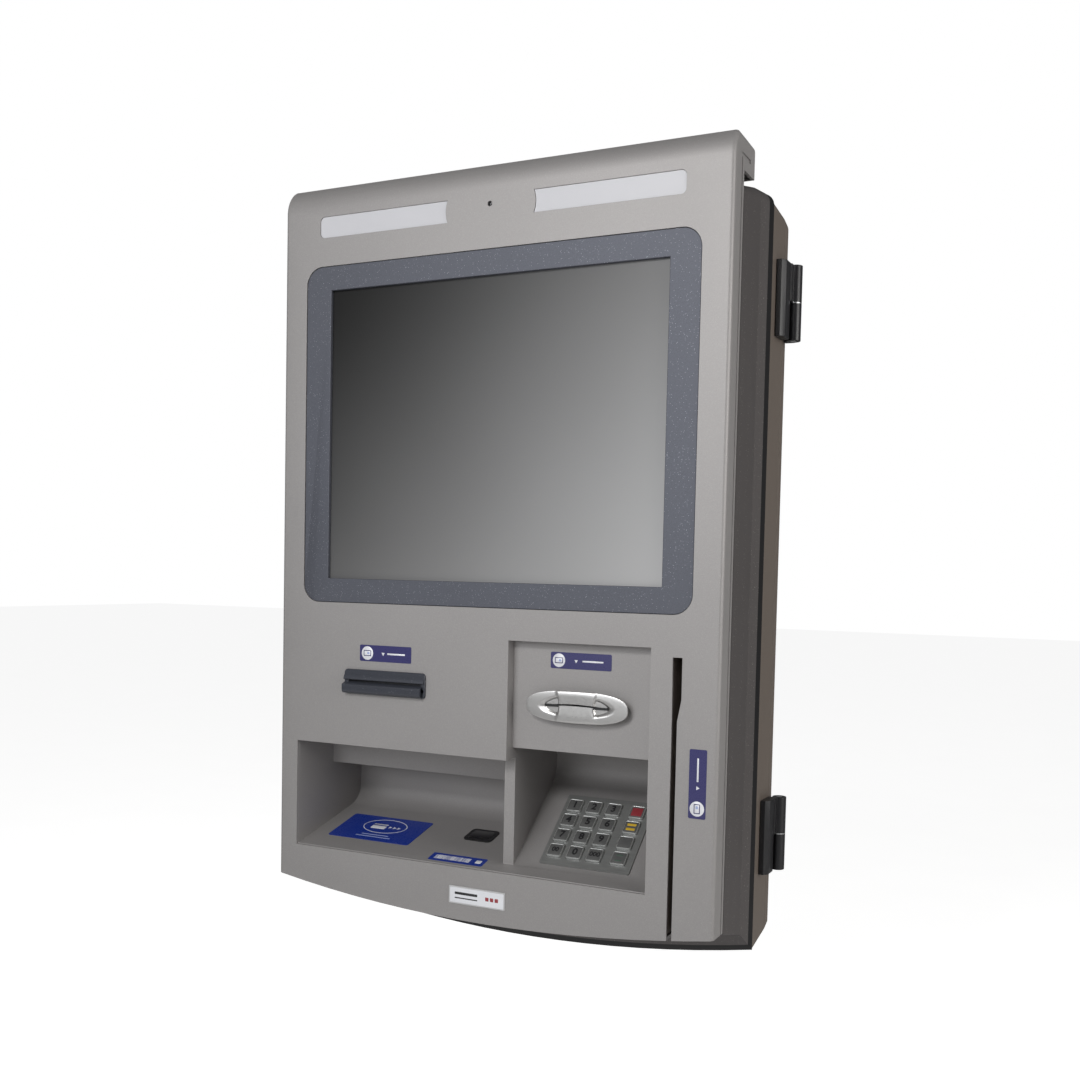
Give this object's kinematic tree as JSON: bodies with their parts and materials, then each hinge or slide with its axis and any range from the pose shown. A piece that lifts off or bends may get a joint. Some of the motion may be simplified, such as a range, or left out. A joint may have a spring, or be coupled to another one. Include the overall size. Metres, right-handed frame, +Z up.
{
  "type": "atm machine",
  "caption": "Wall-hung cashless banking terminal: hinged front with screen, receipt slot, card readers and shelf with sloped keypad",
  "frame": {"origin": "centre of the four wall holes, on the rear face of the wall tray", "axes": "+X right seen from the front, +Y into the wall, +Z up"},
  "size_m": [0.532, 0.165, 0.7914],
  "materials": {
    "fascia_paint": "fine metallic satin paint",
    "bezel_paint": "dark blue-grey metallic paint",
    "surround_paint": "charcoal metallic paint with fine flecks",
    "frame_paint": "brown-grey satin powder coat",
    "hinge_black": "black satin coat",
    "zinc_steel": "zinc plated",
    "zinc_sheet_case": "thin sheet case, mostly air inside",
    "display_case": "display case, mostly air and glass inside",
    "screen_glass": "dark glass, screen off",
    "black_plastic": "moulded",
    "white_plastic": "acetal",
    "mouth_plastic": "dark blue-grey satin",
    "satin_chrome": "satin plated",
    "keypad_steel": "brushed",
    "rubber": "matte",
    "paper": "white paper",
    "diffuser": "white diffusing",
    "board_green": "circuit board",
    "label_blue": "printed film",
    "label_navy": "printed film",
    "badge_silver": "satin"
  },
  "bodies": {
    "wall_side": {"wall_tray": "frame_paint", "cable_grommet": "rubber", "power_supply": "zinc_sheet_case", "lock_keeper": "zinc_steel", "hinge_wall_leaves": "hinge_black", "hinge_pins": "zinc_steel", "hinge_washers": "zinc_steel"},
    "door": {"door_frame": "frame_paint", "surround": "surround_paint", "fascia": "fascia_paint", "shelf_tub": "fascia_paint", "card_panel": "fascia_paint", "screen_bezel": "bezel_paint", "touch_glass": "screen_glass", "display_module": "display_case", "display_bracket": "zinc_steel", "camera_module": "black_plastic", "controller_box": "zinc_sheet_case", "fan_housing": "black_plastic", "receipt_mouth": "mouth_plastic", "printer_chassis": "zinc_steel", "card_reader_bezel": "satin_chrome", "card_reader_body": "black_plastic", "swipe_guide": "black_plastic", "swipe_reader": "black_plastic", "keypad_plate": "keypad_steel", "keypad_body": "black_plastic", "contactless_label": "label_blue", "contactless_antenna": "board_green", "fingerprint_sensor": "black_plastic", "code_label": "label_blue", "badge": "badge_silver", "lock_barrel": "satin_chrome", "bracket_screws": "zinc_steel", "function_labels": "label_navy", "light_bars": "diffuser", "light_boards": "board_green", "hinge_door_leaves": "hinge_black"},
    "platen_roller": {"platen_roller": "rubber"},
    "drive_pinion": {"drive_pinion": "white_plastic"},
    "paper_roll": {"paper_roll": "paper"},
    "fan_rotor": {"fan_rotor": "black_plastic"},
    "lock_cam": {"lock_cam": "zinc_steel"},
    "key_1": {"key_1": "keypad_steel"},
    "key_2": {"key_2": "keypad_steel"},
    "key_3": {"key_3": "keypad_steel"},
    "key_cancel": {"key_cancel": "keypad_steel"},
    "key_4": {"key_4": "keypad_steel"},
    "key_5": {"key_5": "keypad_steel"},
    "key_6": {"key_6": "keypad_steel"},
    "key_clear": {"key_clear": "keypad_steel"},
    "key_7": {"key_7": "keypad_steel"},
    "key_8": {"key_8": "keypad_steel"},
    "key_9": {"key_9": "keypad_steel"},
    "key_blank": {"key_blank": "keypad_steel"},
    "key_00": {"key_00": "keypad_steel"},
    "key_0": {"key_0": "keypad_steel"},
    "key_000": {"key_000": "keypad_steel"},
    "key_enter": {"key_enter": "keypad_steel"}
  },
  "joints": [
    {"name": "door_swing", "type": "hinge", "parent": "wall_side", "child": "door", "pos_m": [0.266, -0.01, 0], "axis": [0, 0, 1], "range_deg": [0, 95]},
    {"name": "platen_spin", "type": "hinge", "parent": "door", "child": "platen_roller", "pos_m": [-0.1135, -0.133, -0.126], "axis": [1, 0, 0], "continuous": true},
    {"name": "pinion_spin", "type": "hinge", "parent": "door", "child": "drive_pinion", "pos_m": [-0.1575, -0.1147, -0.126], "axis": [1, 0, 0], "continuous": true},
    {"name": "roll_spin", "type": "hinge", "parent": "door", "child": "paper_roll", "pos_m": [-0.1135, -0.077, -0.098], "axis": [1, 0, 0], "continuous": true},
    {"name": "fan_spin", "type": "hinge", "parent": "door", "child": "fan_rotor", "pos_m": [0.05, -0.087, 0.13], "axis": [0, 1, 0], "continuous": true},
    {"name": "lock_turn", "type": "hinge", "parent": "door", "child": "lock_cam", "pos_m": [-0.2345, -0.032, 0], "axis": [-1, 0, 0], "range_deg": [0, 90]},
    {"name": "press_1", "type": "slide", "parent": "door", "child": "key_1", "axis": [0, 0.6307, -0.776], "range_m": [0, 0.0015], "stiffness_N_per_m": 800, "springref_m": -0.001},
    {"name": "press_2", "type": "slide", "parent": "door", "child": "key_2", "axis": [0, 0.6307, -0.776], "range_m": [0, 0.0015], "stiffness_N_per_m": 800, "springref_m": -0.001},
    {"name": "press_3", "type": "slide", "parent": "door", "child": "key_3", "axis": [0, 0.6307, -0.776], "range_m": [0, 0.0015], "stiffness_N_per_m": 800, "springref_m": -0.001},
    {"name": "press_cancel", "type": "slide", "parent": "door", "child": "key_cancel", "axis": [0, 0.6307, -0.776], "range_m": [0, 0.0015], "stiffness_N_per_m": 800, "springref_m": -0.001},
    {"name": "press_4", "type": "slide", "parent": "door", "child": "key_4", "axis": [0, 0.6307, -0.776], "range_m": [0, 0.0015], "stiffness_N_per_m": 800, "springref_m": -0.001},
    {"name": "press_5", "type": "slide", "parent": "door", "child": "key_5", "axis": [0, 0.6307, -0.776], "range_m": [0, 0.0015], "stiffness_N_per_m": 800, "springref_m": -0.001},
    {"name": "press_6", "type": "slide", "parent": "door", "child": "key_6", "axis": [0, 0.6307, -0.776], "range_m": [0, 0.0015], "stiffness_N_per_m": 800, "springref_m": -0.001},
    {"name": "press_clear", "type": "slide", "parent": "door", "child": "key_clear", "axis": [0, 0.6307, -0.776], "range_m": [0, 0.0015], "stiffness_N_per_m": 800, "springref_m": -0.001},
    {"name": "press_7", "type": "slide", "parent": "door", "child": "key_7", "axis": [0, 0.6307, -0.776], "range_m": [0, 0.0015], "stiffness_N_per_m": 800, "springref_m": -0.001},
    {"name": "press_8", "type": "slide", "parent": "door", "child": "key_8", "axis": [0, 0.6307, -0.776], "range_m": [0, 0.0015], "stiffness_N_per_m": 800, "springref_m": -0.001},
    {"name": "press_9", "type": "slide", "parent": "door", "child": "key_9", "axis": [0, 0.6307, -0.776], "range_m": [0, 0.0015], "stiffness_N_per_m": 800, "springref_m": -0.001},
    {"name": "press_blank", "type": "slide", "parent": "door", "child": "key_blank", "axis": [0, 0.6307, -0.776], "range_m": [0, 0.0015], "stiffness_N_per_m": 800, "springref_m": -0.001},
    {"name": "press_00", "type": "slide", "parent": "door", "child": "key_00", "axis": [0, 0.6307, -0.776], "range_m": [0, 0.0015], "stiffness_N_per_m": 800, "springref_m": -0.001},
    {"name": "press_0", "type": "slide", "parent": "door", "child": "key_0", "axis": [0, 0.6307, -0.776], "range_m": [0, 0.0015], "stiffness_N_per_m": 800, "springref_m": -0.001},
    {"name": "press_000", "type": "slide", "parent": "door", "child": "key_000", "axis": [0, 0.6307, -0.776], "range_m": [0, 0.0015], "stiffness_N_per_m": 800, "springref_m": -0.001},
    {"name": "press_enter", "type": "slide", "parent": "door", "child": "key_enter", "axis": [0, 0.6307, -0.776], "range_m": [0, 0.0015], "stiffness_N_per_m": 800, "springref_m": -0.001}
  ],
  "couplings": [
    {"joint": "pinion_spin", "follows": "platen_spin", "ratio": -2},
    {"joint": "roll_spin", "follows": "platen_spin", "ratio": -0.2}
  ]
}
